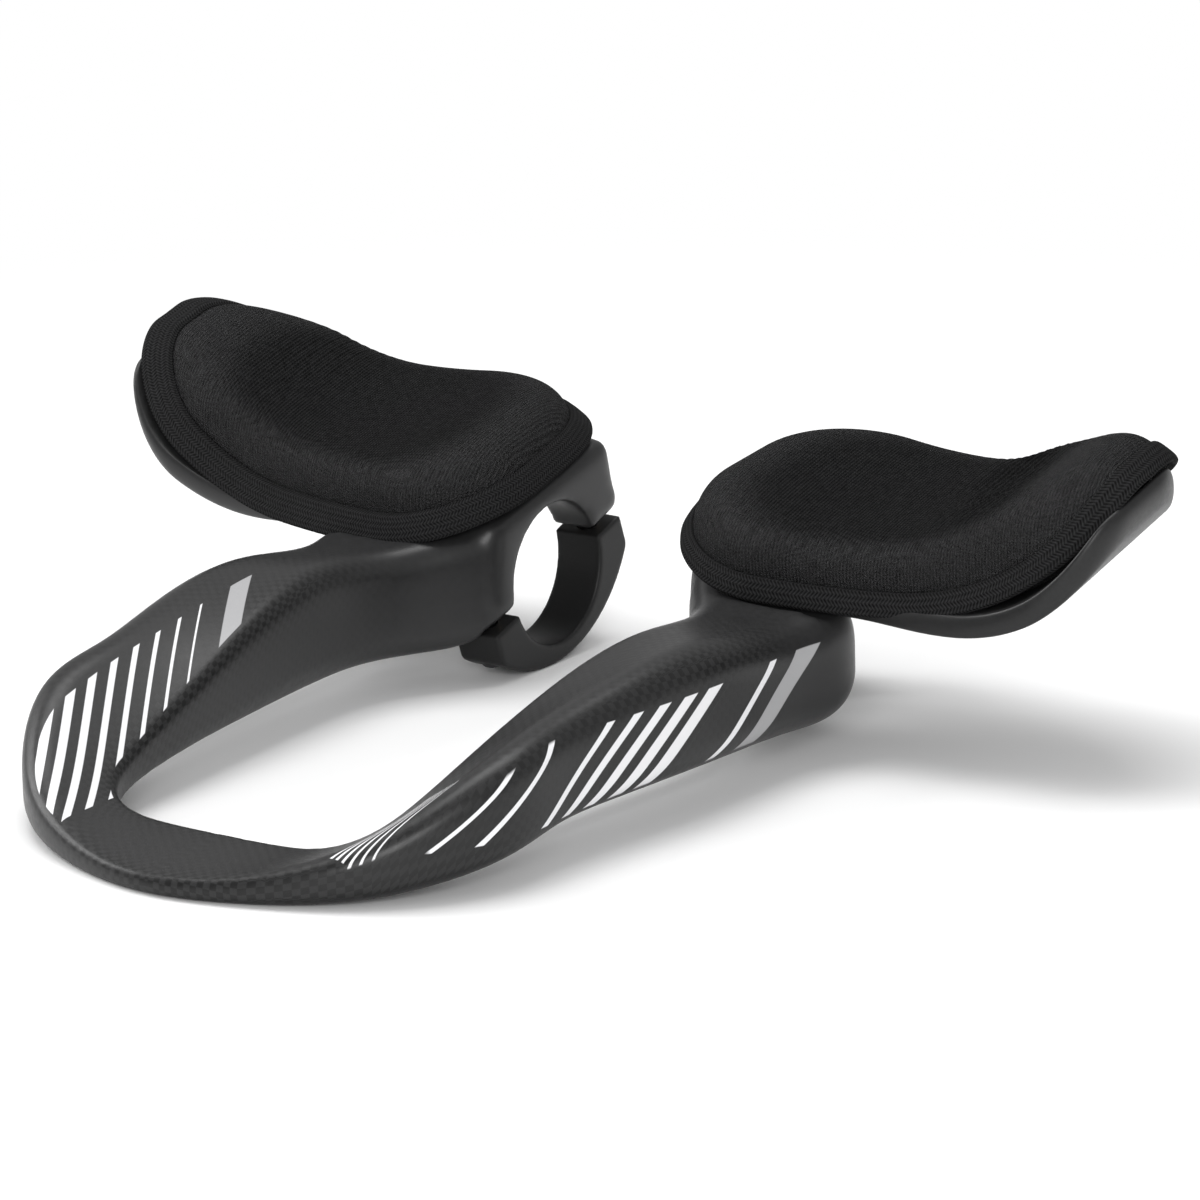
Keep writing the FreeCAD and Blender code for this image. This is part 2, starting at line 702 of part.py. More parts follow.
def hook_patch():
    slant = "(pad_front_in - pad_front_out) * (hook_start_x - pad_inner_x) / (pad_outer_x - pad_inner_x)"
    corners = (
        ("hook_start_x", "hook_inset + %s - pad_front_in" % slant),
        ("pad_outer_x - hook_inset", "hook_inset - pad_front_out"),
        ("pad_outer_x - hook_inset", "pad_rear_out - hook_inset"),
        ("hook_start_x", "pad_rear_out - hook_inset"),
    )
    body = dished("right_hook_patch", (corners, ["hook_corner_r"] * 4), above_cup("cup_wall"),
                  above_cup("cup_wall + hook_thick"))
    tilt(body, "pad_pitch")
    return body


cushion = pad_cushion()
binding = pad_binding()
hook = hook_patch()

# The left side mirrors the right one
right_side = [cap, clamp_bolts, clamp_inserts, cup, cup_bolts, cup_washers, cup_inserts,
              cushion, binding, hook]
left_side = [mirrored(piece, piece.Label.replace("right_", "left_")) for piece in right_side]
doc.recompute()

# Check every sub-part, then write one file for each
os.makedirs("parts", exist_ok=True)
for piece in [extension_bar] + right_side + left_side:
    if "Invalid" in piece.State or "Error" in piece.State or not piece.Shape.isValid():
        raise RuntimeError(piece.Label + " is not a valid solid")
    piece.Shape.exportStep("parts/%s.step" % piece.Label)
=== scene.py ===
import math

import bmesh
import bpy
import numpy as np
from mathutils import Matrix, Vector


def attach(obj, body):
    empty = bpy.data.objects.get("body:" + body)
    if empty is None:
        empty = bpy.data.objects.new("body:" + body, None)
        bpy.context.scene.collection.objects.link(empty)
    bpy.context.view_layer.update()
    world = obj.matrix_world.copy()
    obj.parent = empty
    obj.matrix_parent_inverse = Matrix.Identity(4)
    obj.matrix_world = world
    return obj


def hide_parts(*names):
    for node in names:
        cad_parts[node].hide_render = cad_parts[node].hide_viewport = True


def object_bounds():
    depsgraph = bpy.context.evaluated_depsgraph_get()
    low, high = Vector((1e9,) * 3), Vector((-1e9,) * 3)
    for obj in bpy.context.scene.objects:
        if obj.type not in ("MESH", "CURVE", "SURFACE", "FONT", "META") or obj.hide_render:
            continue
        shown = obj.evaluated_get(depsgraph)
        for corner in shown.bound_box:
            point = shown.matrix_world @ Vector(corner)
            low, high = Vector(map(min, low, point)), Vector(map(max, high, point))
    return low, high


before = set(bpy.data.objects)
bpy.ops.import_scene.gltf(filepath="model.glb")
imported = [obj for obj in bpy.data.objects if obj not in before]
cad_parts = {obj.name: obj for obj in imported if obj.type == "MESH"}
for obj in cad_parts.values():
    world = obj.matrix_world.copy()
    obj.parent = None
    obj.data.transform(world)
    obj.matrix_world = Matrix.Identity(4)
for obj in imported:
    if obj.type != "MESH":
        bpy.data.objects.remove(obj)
cad_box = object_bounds()

# Carbon extension bar
# The real bar is one hollow carbon moulding: a U whose flat bridge blade twists up into two tall
# arms, which run into the clamp heads. It is satin lacquered over a visible weave, with stripes.
MM = 0.001
MM_IN_M = 1000
TABLE = cad_box[0][2]
BEND_X, BEND_Y, BEND_RADIUS = 20, -138, 26
SPLIT = math.radians(19.5)
TOW = 1.4


def merged_copy(node, name):
    """A CAD node's triangles as a new object, with the points that coincide made one."""
    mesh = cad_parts[node].data.copy()
    mesh.name = name
    work = bmesh.new()
    work.from_mesh(mesh)
    bmesh.ops.remove_doubles(work, verts=work.verts, dist=1e-6)
    work.to_mesh(mesh)
    work.free()
    piece = bpy.data.objects.new(name, mesh)
    bpy.context.scene.collection.objects.link(piece)
    mesh.materials.clear()
    return piece


def reskin(piece, voxel, rounds):
    """Cover a piece with small even faces, smooth them a number of times and keep the result."""
    skin = piece.modifiers.new("skin", "REMESH")
    skin.mode = "VOXEL"
    skin.voxel_size = voxel
    flow = piece.modifiers.new("flow", "SMOOTH")
    flow.factor = 0.5
    flow.iterations = rounds
    graph = bpy.context.evaluated_depsgraph_get()
    mesh = bpy.data.meshes.new_from_object(piece.evaluated_get(graph))
    mesh.name = piece.name
    piece.modifiers.clear()
    piece.data = mesh
    mesh.shade_smooth()


def points_of(mesh):
    """The mesh's points as an array of rows x, y, z."""
    flat = np.empty(len(mesh.vertices) * 3)
    mesh.vertices.foreach_get("co", flat)
    return flat.reshape(-1, 3)


def ease(piece, weight, rounds):
    """Move each point halfway to the middle of its neighbours, by its weight, a number of times."""
    mesh = piece.data
    points = points_of(mesh)
    ends = np.empty(len(mesh.edges) * 2, np.int32)
    mesh.edges.foreach_get("vertices", ends)
    first, second = ends.reshape(-1, 2).T
    count = len(points)
    neighbours = np.bincount(ends, minlength=count)[:, None]
    for _ in range(rounds):
        total = np.stack([np.bincount(first, points[second, axis], count)
                          + np.bincount(second, points[first, axis], count)
                          for axis in range(3)], 1)
        points += weight[:, None] / 2 * (total / neighbours - points)
    mesh.vertices.foreach_set("co", points.ravel())
    mesh.update()


def ramp(values, low, high):
    """0 below low, 1 above high, and a smooth step between."""
    share = np.clip((values - low) / (high - low), 0, 1)
    return share * share * (3 - 2 * share)


def bar_sections():
    """Sections in mm: station along the U, then inner, outer, crease, ridge, belly and keel."""
    quarter = math.pi / 2 * BEND_RADIUS
    return np.array([
        (-20, 13.0, 40.0, 6.2, 4.5, 0.0, 0.0),
        (0, 13.0, 36.0, 6.7, 6.0, 0.0, 0.2),
        (quarter / 2, 14.5, 33.5, 8.8, 14.5, 0.8, 2.0),
        (quarter, 15.0, 40.2, 12.8, 29.6, 5.0, 5.5),
        (quarter + 20, 16.6, 42.0, 19.8, 34.0, 8.0, 8.0),
        (quarter + 40, 18.0, 44.0, 26.8, 35.5, 8.9, 8.6),
        (quarter + 73, 20.0, 47.0, 34.2, 35.2, 8.6, 8.4),
        (quarter + 100, 16.0, 47.5, 33.4, 31.5, 7.2, 8.6),
        (quarter + 117, 6.0, 47.0, 35.0, 33.5, 10.2, 11.5),
    ]) * MM


def wrap_lengths(points):
    """Lengths along and around the U for each point, and its distance from the nearest corner.

    Along is measured on the U's centre line from the bend's start. Around is measured on the
    straight-sided section from its inner crease: over the top facet, down the outer side and under
    the belly, and the other way down the inner side.
    """
    x, y, z = np.abs(points[:, 0]), points[:, 1], points[:, 2] - TABLE
    bend_x, bend_y = BEND_X * MM, BEND_Y * MM
    sideways = np.maximum(x - bend_x, 0)
    forward = np.maximum(bend_y - y, 0)
    reach = np.hypot(sideways, forward)
    turned = np.arctan2(sideways, forward + 1e-9) * BEND_RADIUS * MM
    along = np.where(y > bend_y, math.pi / 2 * BEND_RADIUS * MM + y - bend_y, turned)
    along = np.where((x < bend_x) & (y < bend_y), x - bend_x, along)
    table = bar_sections()
    inner, outer, crease, ridge, belly, keel = [np.interp(along, table[:, 0], column)
                                                for column in table.T[1:]]
    corners = np.stack([np.stack([inner, crease]), np.stack([outer, ridge]),
                        np.stack([outer, belly]), np.stack([inner, keel])])
    here = np.stack([reach, z])
    runs, gaps, sides = [], [], []
    for first, second in ((0, 1), (1, 2), (2, 3), (3, 0)):
        side = corners[second] - corners[first]
        length = np.hypot(*side)
        run = np.clip(((here - corners[first]) * side).sum(0) / length, 0, length)
        gaps.append(np.hypot(*(corners[first] + side / length * run - here)))
        runs.append(run)
        sides.append(length)
    starts = [0, sides[0], sides[0] + sides[1], -sides[3]]
    nearest = np.argmin(gaps, axis=0)
    around = np.choose(nearest, [start + run for start, run in zip(starts, runs)])
    to_corner = np.choose(nearest, [np.minimum(run, length - run)
                                    for run, length in zip(runs, sides)])
    return along, around, to_corner


bar = merged_copy("extension_bar", "carbon_bar")
reskin(bar, voxel=0.8 * MM, rounds=10)
x, y, z = points_of(bar.data).T
behind_arm = ramp(y, -34 * MM, -22 * MM)
off_bore = ramp(np.hypot(y, z), 16.5 * MM, 19 * MM)
off_split = ramp(z * math.cos(SPLIT) - y * math.sin(SPLIT), 4 * MM, 8 * MM)
ease(bar, behind_arm * off_bore * off_split, rounds=22)
along, around, to_corner = wrap_lengths(points_of(bar.data))
corner_of_loop = np.empty(len(bar.data.loops), np.int32)
bar.data.loops.foreach_get("vertex_index", corner_of_loop)
wrap = bar.data.uv_layers.new(name="wrap")
wrap.data.foreach_set("uv", np.stack([along, around], 1)[corner_of_loop].ravel())
# A band along the section's rounded corners, where the colour is made darker as a painted dark
# reflection.
corner_reflection_band = bar.data.attributes.new("corner_reflection_band", "FLOAT", "POINT")
fold_width = 5 * MM
corner_reflection_band.data.foreach_set("value", np.exp(-(to_corner / fold_width) ** 2))


class Wire:
    """A socket of a material's nodes; sums and products of wires add Math nodes."""

    def __init__(self, tree, socket=None):
        self.tree = tree
        self.socket = socket

    def node(self, kind, settings=None, inputs=None, output=0):
        """Add a node, set its settings and then its sockets, and give one of its outputs."""
        made = self.tree.nodes.new(kind)
        for name, value in (settings or {}).items():
            setattr(made, name, value)
        for name, value in (inputs or {}).items():
            if isinstance(value, Wire):
                self.tree.links.new(value.socket, made.inputs[name])
            else:
                made.inputs[name].default_value = value
        return Wire(self.tree, made.outputs[output])

    def math(self, operation, *values):
        return self.node("ShaderNodeMath", {"operation": operation},
                         dict(enumerate((self,) + values)))

    def __add__(self, other):
        return self.math("ADD", other)

    def __sub__(self, other):
        return self.math("SUBTRACT", other)

    def __rsub__(self, other):
        return self.math("MULTIPLY", -1.0).math("ADD", other)

    def __mul__(self, other):
        return self.math("MULTIPLY", other)

    def __truediv__(self, other):
        return self.math("DIVIDE", other)

    __radd__ = __add__
    __rmul__ = __mul__

    def over(self, edge, blur):
        """1 above an edge and 0 below it, with a blur between."""
        return self.node("ShaderNodeMapRange", {"interpolation_type": "SMOOTHSTEP"},
                         {"Value": self, "From Min": edge - blur, "From Max": edge + blur})

    def within(self, low, high, blur):
        return self.over(low, blur) * (1 - self.over(high, blur))

    def stripes(self, lead, width, change, blur):
        """1 on a stripe in each whole step of this wire, and 0 between.

        A stripe starts at the lead. Its width is a share of the step, and changes from one to
        the next.
        """
        place = self.math("FRACT") - lead
        share = width + self.math("FLOOR") * change
        return place.over(0.0, blur) * (1 - (place - share).over(0.0, blur))

    def mix(self, low, high):
        """A colour between two, by this wire's value."""
        return self.node("ShaderNodeMix", {"data_type": "RGBA"},
                         {"Factor": self, "A": low, "B": high}, 2)

    def split(self, kind, settings, output=0):
        """The three parts of a vector that a new node gives."""
        vector = self.node(kind, settings, output=output)
        return [self.node("ShaderNodeSeparateXYZ", inputs={0: vector}, output=part)
                for part in range(3)]

    def place(self):
        """Object coordinates in mm, as three wires."""
        return [axis * MM_IN_M for axis in self.split("ShaderNodeTexCoord", {}, "Object")]

    def noise(self, grain, detail):
        """Noise on Object coordinates, with grains of a size in mm."""
        where = self.node("ShaderNodeTexCoord", output="Object")
        return self.node("ShaderNodeTexNoise", inputs={"Vector": where, "Scale": MM_IN_M / grain,
                                                       "Detail": detail})

    def bump(self, strength, height):
        """A surface that this wire raises by up to a height in mm."""
        return self.node("ShaderNodeBump", inputs={"Strength": strength, "Distance": height * MM,
                                                   "Height": self})


def new_material(name, **numbers):
    """A material, a wire to grow its nodes from and its surface shader with numbers set on it."""
    material = bpy.data.materials.new(name)
    material.use_nodes = True
    shader = material.node_tree.nodes["Principled BSDF"]
    for socket, value in numbers.items():
        shader.inputs[socket.replace("_", " ")].default_value = value
    return material, Wire(material.node_tree), shader


def feed(shader, **wires):
    """Link wires to the sockets of a shader."""
    for socket, wire in wires.items():
        wire.tree.links.new(wire.socket, shader.inputs[socket.replace("_", " ")])


def grey(level):
    """A grey with a trace of blue, as a colour."""
    return (level, level, level * 1.02, 1)


def carbon_finish():
    """Satin lacquer on a plain weave of carbon tows, with printed stripes; lengths are in mm.

    Along the rounded corners the colour is darker, a painted dark reflection, and the weave's
    contrast rises there to paint its glints; the weave does not show on the heads, which are filled
    and rubbed down. Stripes on the left facet run at a slant across the arm, each
    narrower than the last, and a fan of finer ones lies on the right bend; those on the outer
    flanks rise to the rear.
    """
    material, start, shader = new_material("satin_carbon", Specular_IOR_Level=0.3,
                                           Coat_Weight=0.12, Coat_Roughness=0.25)
    x, y, z = start.place()
    along, around = [axis * (MM_IN_M / TOW) for axis in
                     start.split("ShaderNodeUVMap", {"uv_map": "wrap"})[:2]]
    square = (along.math("FLOOR") + around.math("FLOOR")).math("PINGPONG", 1.0)
    crest_along = (along * math.pi).math("SINE").math("ABSOLUTE")
    crest_around = (around * math.pi).math("SINE").math("ABSOLUTE")
    tows = square * crest_around + (1 - square) * crest_along
    corner_reflection = start.node("ShaderNodeAttribute", {"attribute_name": "corner_reflection_band"}, output=2)
    cloud = start.noise(1.6, 4.0)
    fleck = start.noise(0.26, 2.0)
    heads_y, heads_blur = -50.0, 20.0
    woven = 1 - y.over(heads_y, heads_blur)
    # Along the corner band the colour is darker, a painted dark reflection, and the weave's
    # contrast is raised there to paint its glints.
    shown = (0.17 + corner_reflection * 0.42) * woven * fleck * 2
    level = 0.80 - woven * (0.3 + corner_reflection * 0.2) + (square - 0.4) * shown + (cloud - 0.5) * 0.3
    bare = level.mix(grey(0.002), grey(0.024))
    rough = 0.40 + (cloud - 0.5) * 0.18 + square * woven * 0.05

    sharp = 0.1
    side = x.math("ABSOLUTE")
    on_right = x.over(0.0, 0.5)
    facing = start.split("ShaderNodeNewGeometry", {}, "Normal")
    reach_x = (side - BEND_X).math("MAXIMUM", 0.0)
    reach_y = (BEND_Y - y).math("MAXIMUM", 0.0)
    reach = (reach_x * reach_x + reach_y * reach_y).math("SQRT")
    crease = 16.2 + (y - BEND_Y).math("MAXIMUM", 0.0) * 0.11
    facet_edge, facet_start = 31.5, 29.5
    facet = (1 - reach.over(facet_edge, sharp)) * (reach - crease).over(0.0, sharp)
    facet = facet * side.over(facet_start, sharp) * facing[2].over(0.2, 0.05) * (1 - on_right)
    slanted = y * 0.512 - side * 0.859 + 119.5
    stripe_pitch, stripe_count = 3.9, 8
    stripes = (slanted / stripe_pitch).stripes(lead=0.08, width=0.52, change=-0.06, blur=0.02)
    white = stripes * slanted.within(0.0, stripe_pitch * stripe_count, sharp) * facet
    pale = slanted.within(33.0, 36.8, sharp) * facet

    fanned = x * 0.945 - y * 0.327 - 87.5
    fan_pitch, fan_count, fan_blur = 1.35, 6, 0.05
    fan = (fanned / fan_pitch).stripes(lead=0.1, width=0.46, change=-0.05, blur=fan_blur)
    fan = fan * fanned.within(0.0, fan_pitch * fan_count, fan_blur)
    fan = fan * y.within(-164.0, -141.0, sharp) * facing[2].over(0.25, 0.05)
    white = white + fan * on_right

    flank = facing[0].math("ABSOLUTE").over(0.75, 0.05) * side.over(52.0, 0.5)
    flank = flank * z.within(-9.6, 7.0, 0.12)
    rise = y * 0.60 - z * 0.80
    bar_pitch, bar_count = 4.6, 5.0
    bar_step = (rise + 69.0) / bar_pitch
    bars = bar_step.stripes(lead=0.02, width=0.30, change=0.08, blur=0.02)
    white = white + bars * bar_step.within(0.0, bar_count, 0.02) * flank
    lines = sum(rise.within(low, high, 0.08)
                for low, high in ((-84.5, -83.7), (-79.0, -77.9), (-37.0, -35.4)))
    white = (white + lines * flank).math("MINIMUM", 1.0)
    pale = (pale + rise.within(-31.0, -26.4, sharp) * flank).math("MINIMUM", 1.0)
    feed(shader, Base_Color=white.mix(pale.mix(bare, grey(0.36)), grey(0.80)), Roughness=rough,
         Normal=(tows * woven).bump(0.12, 0.06))
    return material


bar.data.materials.append(carbon_finish())
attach(bar, "root")
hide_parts("extension_bar")

# Clamp caps
# Each cap is the forged lower half of a handlebar clamp, blasted and anodised black, with flats
# that meet at soft corners. Two socket screws draw it up to the head.
for side in ("left", "right"):
    cap = merged_copy(side + "_clamp_cap", side + "_cap")
    reskin(cap, voxel=0.35 * MM, rounds=16)
    material, start, shader = new_material(side + "_anodised", Specular_IOR_Level=0.3)
    cloud = start.noise(0.36, 4.0)
    feed(shader, Base_Color=cloud.mix(grey(0.006), grey(0.013)),
         Roughness=0.46 + (cloud - 0.5) * 0.2, Normal=start.noise(0.01, 2.0).bump(0.15, 0.05))
    cap.data.materials.append(material)
    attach(cap, "root")
    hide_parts(side + "_clamp_cap")

# Screws, washers and threaded inserts
# Blackened socket screws and plain washers, and brass inserts bonded into the carbon. They are
# turned parts, with a fine mottle in their tone and gloss.


def turned_metal(name, dark, pale, gloss):
    """Bare metal whose colour and roughness vary finely together."""
    material, start, shader = new_material(name, Metallic=1.0)
    mottle = start.noise(0.02, 3.0)
    feed(shader, Base_Color=mottle.mix(dark, pale), Roughness=gloss + mottle * 0.2)
    return material


def dress(node, material):
    """Give a CAD node that stays in view its material."""
    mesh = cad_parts[node].data
    mesh.materials.clear()
    mesh.materials.append(material)


blackened = turned_metal("blackened_steel", grey(0.05), grey(0.11), 0.32)
brass = turned_metal("turned_brass", (0.40, 0.27, 0.10, 1), (0.52, 0.37, 0.15, 1), 0.3)
for side in ("left", "right"):
    for fastener in ("clamp_bolts", "cup_bolts", "cup_washers"):
        dress(side + "_" + fastener, blackened)
    for fastener in ("clamp_inserts", "cup_inserts"):
        dress(side + "_" + fastener, brass)

# Armrest cups
# Each cup is a moulded shell that dishes across the forearm and sweeps up into a high outer wing.
# Its edge is rounded all round, and two screws hold it on the saddle above the handlebar.
PITCH = math.radians(14)
CUP_CORNERS = ((24, -27.5), (129, -19.5), (129, 26), (30, 36))
CUP_RADII = (24, 18, 18, 28)
CUP_CENTRE = np.array((78.0, 1.0))
CUP_UPPER_DISH = (91, 20, 386, 40)
CUP_LOWER_DISH = (91, 16, 390, 44)
RIM_HEIGHT = 42.2


def outline(corners, radii, count):
    """Points at equal steps round a quadrilateral with rounded corners.

    At each corner an arc of the given radius touches both sides; the arcs are joined by straight
    lines, and the whole line is divided by its length.
    """
    corners, radii = np.array(corners, float), np.array(radii, float)
    back = np.roll(corners, 1, 0) - corners
    ahead = np.roll(corners, -1, 0) - corners
    back /= np.linalg.norm(back, axis=1)[:, None]
    ahead /= np.linalg.norm(ahead, axis=1)[:, None]
    half = np.arccos((back * ahead).sum(1)) / 2
    middle = (back + ahead) / np.linalg.norm(back + ahead, axis=1)[:, None]
    centres = corners + middle * (radii / np.sin(half))[:, None]
    start = corners + back * (radii / np.tan(half))[:, None] - centres
    first = np.arctan2(start[:, 1], start[:, 0])
    sweep = math.pi - 2 * half
    angles = first[:, None] + sweep[:, None] * np.linspace(0, 1, 40)
    turns = np.stack([np.cos(angles), np.sin(angles)], -1)
    line = (centres[:, None] + radii[:, None, None] * turns).reshape(-1, 2)
    line = np.vstack([line, line[:1]])
    length = np.concatenate([[0], np.cumsum(np.hypot(*np.diff(line, axis=0).T))])
    steps = np.linspace(0, length[-1], count, endpoint=False)
    return np.stack([np.interp(steps, length, column) for column in line.T], 1)


def dish(x, low_x, low_z, inner_r, outer_r):
    """Height of a curve of two arcs that meet level at (low_x, low_z)."""
    radius = np.where(x < low_x, inner_r, outer_r)
    across = np.minimum(np.abs(x - low_x), radius * 0.98)
    return low_z + radius - np.sqrt(radius ** 2 - across ** 2)


def pitched(points, side):
    """Points of the right pad's level, in mm, turned nose down and set on a side, in metres."""
    x, y, z = points[..., 0], points[..., 1], points[..., 2]
    turned = np.stack([x, y * math.cos(PITCH) - z * math.sin(PITCH),
                       y * math.sin(PITCH) + z * math.cos(PITCH)], -1) * MM
    return turned * ((1, 1, 1) if side == "right" else (-1, 1, 1))


def grid_piece(name, points, side, poles):
    """A mesh over a grid of rings by points, closed round the rings.

    It is either drawn to a point at both ends or closed from the last ring to the first. Its UV
    map gives lengths in metres: round the widest ring, and across the rings at their first point.
    """
    rings, count = points.shape[:2]
    row, column = np.mgrid[0:rings - 1 if poles else rings, 0:count]
    step = np.array([(0, 0), (0, 1), (1, 1), (1, 0)])
    rows = row[..., None] + step[:, 0]
    columns = column[..., None] + step[:, 1]
    quads = ((rows % rings) * count + columns % count).reshape(-1, 4)
    placed = pitched(points, side)
    mesh = bpy.data.meshes.new(name)
    mesh.from_pydata(placed.reshape(-1, 3), [], quads)
    widest = placed[np.argmax(np.ptp(placed[..., 0], axis=1))]
    around = np.linalg.norm(np.roll(widest, -1, 0) - widest, axis=1)
    round_length = np.concatenate([[0], np.cumsum(around)])
    across = np.linalg.norm(np.diff(np.vstack([placed[:, 0], placed[:1, 0]]), axis=0), axis=1)
    cross_length = np.concatenate([[0], np.cumsum(across)])
    lengths = np.stack([round_length[columns], cross_length[rows]], -1)
    mesh.uv_layers.new(name="lengths").data.foreach_set("uv", lengths.ravel())
    work = bmesh.new()
    work.from_mesh(mesh)
    bmesh.ops.remove_doubles(work, verts=work.verts, dist=1e-7)
    bmesh.ops.recalc_face_normals(work, faces=work.faces)
    work.to_mesh(mesh)
    work.free()
    mesh.shade_smooth()
    piece = bpy.data.objects.new(name, mesh)
    bpy.context.scene.collection.objects.link(piece)
    return piece


def cup_shell(count):
    """The cup as rings: from the middle of the upper face out, round the edge and back beneath.

    A ring is the plan outline drawn in by a share; round the edge it is drawn in by a distance,
    e (1 - sin t), while the height goes as cos t from the upper dish to the lower one. The rim is
    the softened lower one of the dish and a level height.
    """
    line = outline(CUP_CORNERS, CUP_RADII, count)
    span = np.linalg.norm(line - CUP_CENTRE, axis=1)
    edge, soft, thinnest, sag = 1.6, 1.2, 2.0, 1.3
    face_rings, edge_rings = 30, 15
    turn = np.linspace(0, math.pi, edge_rings)
    face = np.linspace(0, 1, face_rings, endpoint=False)[:, None] * (1 - edge / span)
    rim = 1 - edge * (1 - np.sin(turn))[:, None] / span
    share = np.concatenate([face, rim, face[::-1]])
    level = np.concatenate([np.ones(face_rings), np.cos(turn), -np.ones(face_rings)])[:, None]
    plan = CUP_CENTRE + share[..., None] * (line - CUP_CENTRE)
    x = plan[..., 0]
    bottom = dish(x, *CUP_LOWER_DISH) - sag * ramp(x, 70, 90)
    top = -soft * np.logaddexp(-dish(x, *CUP_UPPER_DISH) / soft, -RIM_HEIGHT / soft)
    top = np.maximum(top, bottom + thinnest)
    height = (top + bottom) / 2 + (top - bottom) / 2 * level
    return np.concatenate([plan, height[..., None]], -1)


moulded, start, shader = new_material("moulded_cup", Specular_IOR_Level=0.35)
cloud = start.noise(0.98, 4.0)
feed(shader, Base_Color=cloud.mix(grey(0.008), grey(0.017)),
     Roughness=0.40 + (cloud - 0.5) * 0.2, Normal=start.noise(0.04, 3.0).bump(0.12, 0.05))
for side in ("left", "right"):
    cup = grid_piece(side + "_cup", cup_shell(240), side, True)
    cup.data.materials.append(moulded)
    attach(cup, "root")
    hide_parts(side + "_armrest_cup")

# Hook patches
# A patch of hook tape is stuck in each cup, and the loops under the pad grip it. It shows as a dark
# rough strip where the pad lifts off the cup's front edge.
HOOK = 0.03
hooks, start, shader = new_material("hook_tape", Roughness=0.9)
stubs = start.node("ShaderNodeTexVoronoi", inputs={
    "Vector": start.node("ShaderNodeTexCoord", output="Object"), "Scale": MM_IN_M / HOOK})
feed(shader, Base_Color=stubs.mix(grey(0.018), grey(0.004)), Normal=stubs.bump(1.0, 0.6))
for side in ("left", "right"):
    dress(side + "_hook_patch", hooks)

# Pad cushions
# Moulded foam under a stretch knit cover. The cover is drawn over a rounded shoulder down to the
# seam, and it puckers where the pad turns up into the wing.
SEAM_CORNERS = {"left": ((23.7, -30.9), (121.8, -11.6), (121.8, 30.3), (28.3, 33.1)),
                "right": ((19.5, -30.9), (124.8, -11.6), (124.8, 30.3), (29.0, 32.0))}
SEAM_RADII = (20.8, 18.6, 20.0, 25.8)
SEAM_DISH = {"left": (79.4, 22.2, 240, 50.0), "right": (79.4, 22.2, 240, 53.7)}
PAD_CENTRE = np.array((76.0, 1.5))
CROWN_DISH = {"left": (73.1, 32.9, 165, 53.0), "right": (72.4, 32.0, 110, 53.3)}
PUCKER = {"left": 0.13, "right": 1.0}


def lean_of(x, side):
    """Angle at which the seam's dish rises across the pad: the arc's angle from its low point."""
    low_x, _, inner_r, outer_r = SEAM_DISH[side]
    return np.arcsin((x - low_x) / np.where(x < low_x, inner_r, outer_r))


def cushion_form(side, count):
    """The cushion as rings: out over the crown, down the shoulder to below the seam, back beneath.

    With f the share of the way from the middle to the seam, the height square to the seam's dish is
    the gap to the crown curve times (1 - f^6.5)^0.45. Puckers are short waves across the start of
    the wing.
    """
    line = outline(SEAM_CORNERS[side], SEAM_RADII, count)
    crown, tuck, under = 80, 5, 24
    share = np.concatenate([1 - np.linspace(1, 0, crown) ** 2.2, np.linspace(1, 0.97, tuck),
                            np.linspace(0.96, 0, under)])
    plan = PAD_CENTRE + share[:, None, None] * (line - PAD_CENTRE)
    x, y = plan[..., 0], plan[..., 1]
    f = np.broadcast_to(share[:, None], x.shape)
    seam, lean = dish(x, *SEAM_DISH[side]), lean_of(x, side)
    gap = (dish(x, *CROWN_DISH[side]) - seam) * np.cos(lean)
    wing_x, wing_width, wave = 98, 12, 3.0
    pucker = np.exp(-((x - wing_x) / wing_width) ** 2) * np.clip((y + 18) / 30, 0, 1)
    pucker = pucker * np.clip(1 - f ** 10, 0, 1)
    waves = np.sin(2 * math.pi * (x + 0.14 * y + 0.8 * np.sin(y / 5)) / wave)
    rise = gap * np.clip(1 - f ** 6.5, 0, 1) ** 0.45 + PUCKER[side] * pucker * waves
    drop = np.concatenate([np.zeros(crown), np.linspace(0.5, 2.4, tuck), np.zeros(under)])[:, None]
    upper = np.arange(len(share))[:, None] < crown + tuck
    rise = np.where(upper, rise - drop, 0)
    off_cup, under_seam = 1.6, 1.0
    beneath = np.minimum(dish(x, *CUP_UPPER_DISH) + off_cup, seam - under_seam)
    height = np.where(upper, seam + rise * np.cos(lean), beneath)
    return np.stack([x - rise * np.sin(lean), y, height], -1)


def knit_finish():
    """Stretch knit: fine ribs along the pad's short way, crossed by the stitches of each rib.

    Pale specks are painted glints of the yarn; more of them past the crown, on the shoulder, are a
    painted highlight.
    """
    material, start, shader = new_material("cover_knit", Roughness=0.8, Specular_IOR_Level=0.02)
    x, y, z = start.place()
    rib_pitch, stitch_pitch = 0.75, 0.65
    wander = (start.noise(0.32, 2.0) - 0.5) * 0.9
    rib = ((x + wander * 0.3) * (2 * math.pi / rib_pitch)).math("SINE")
    stitch = ((y - z + wander * 0.3) * (2 * math.pi / stitch_pitch) + rib * 1.2).math("SINE")
    yarn = rib * 0.6 + stitch * 0.4
    cloud = start.noise(1.28, 5.0)
    # Pale specks are painted glints of the yarn, stronger on the shoulder as a painted highlight.
    glint_specks = start.noise(0.04, 1.0).over(0.62, 0.06)
    from_middle = start.split("ShaderNodeUVMap", {"uv_map": "lengths"})[1] * MM_IN_M
    shoulder_highlight = from_middle.over(40.0, 8.0)
    level = 0.045 + yarn * 0.07 + glint_specks * (0.25 + shoulder_highlight) + (cloud - 0.5) * 0.15
    feed(shader, Base_Color=level.mix(grey(0.002), grey(0.13)), Normal=yarn.bump(0.9, 0.25))
    return material


cover = knit_finish()
for side in ("left", "right"):
    cushion = grid_piece(side + "_cushion", cushion_form(side, 320), side, True)
    cushion.data.materials.append(cover)
    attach(cushion, "root")
    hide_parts(side + "_pad_cushion")

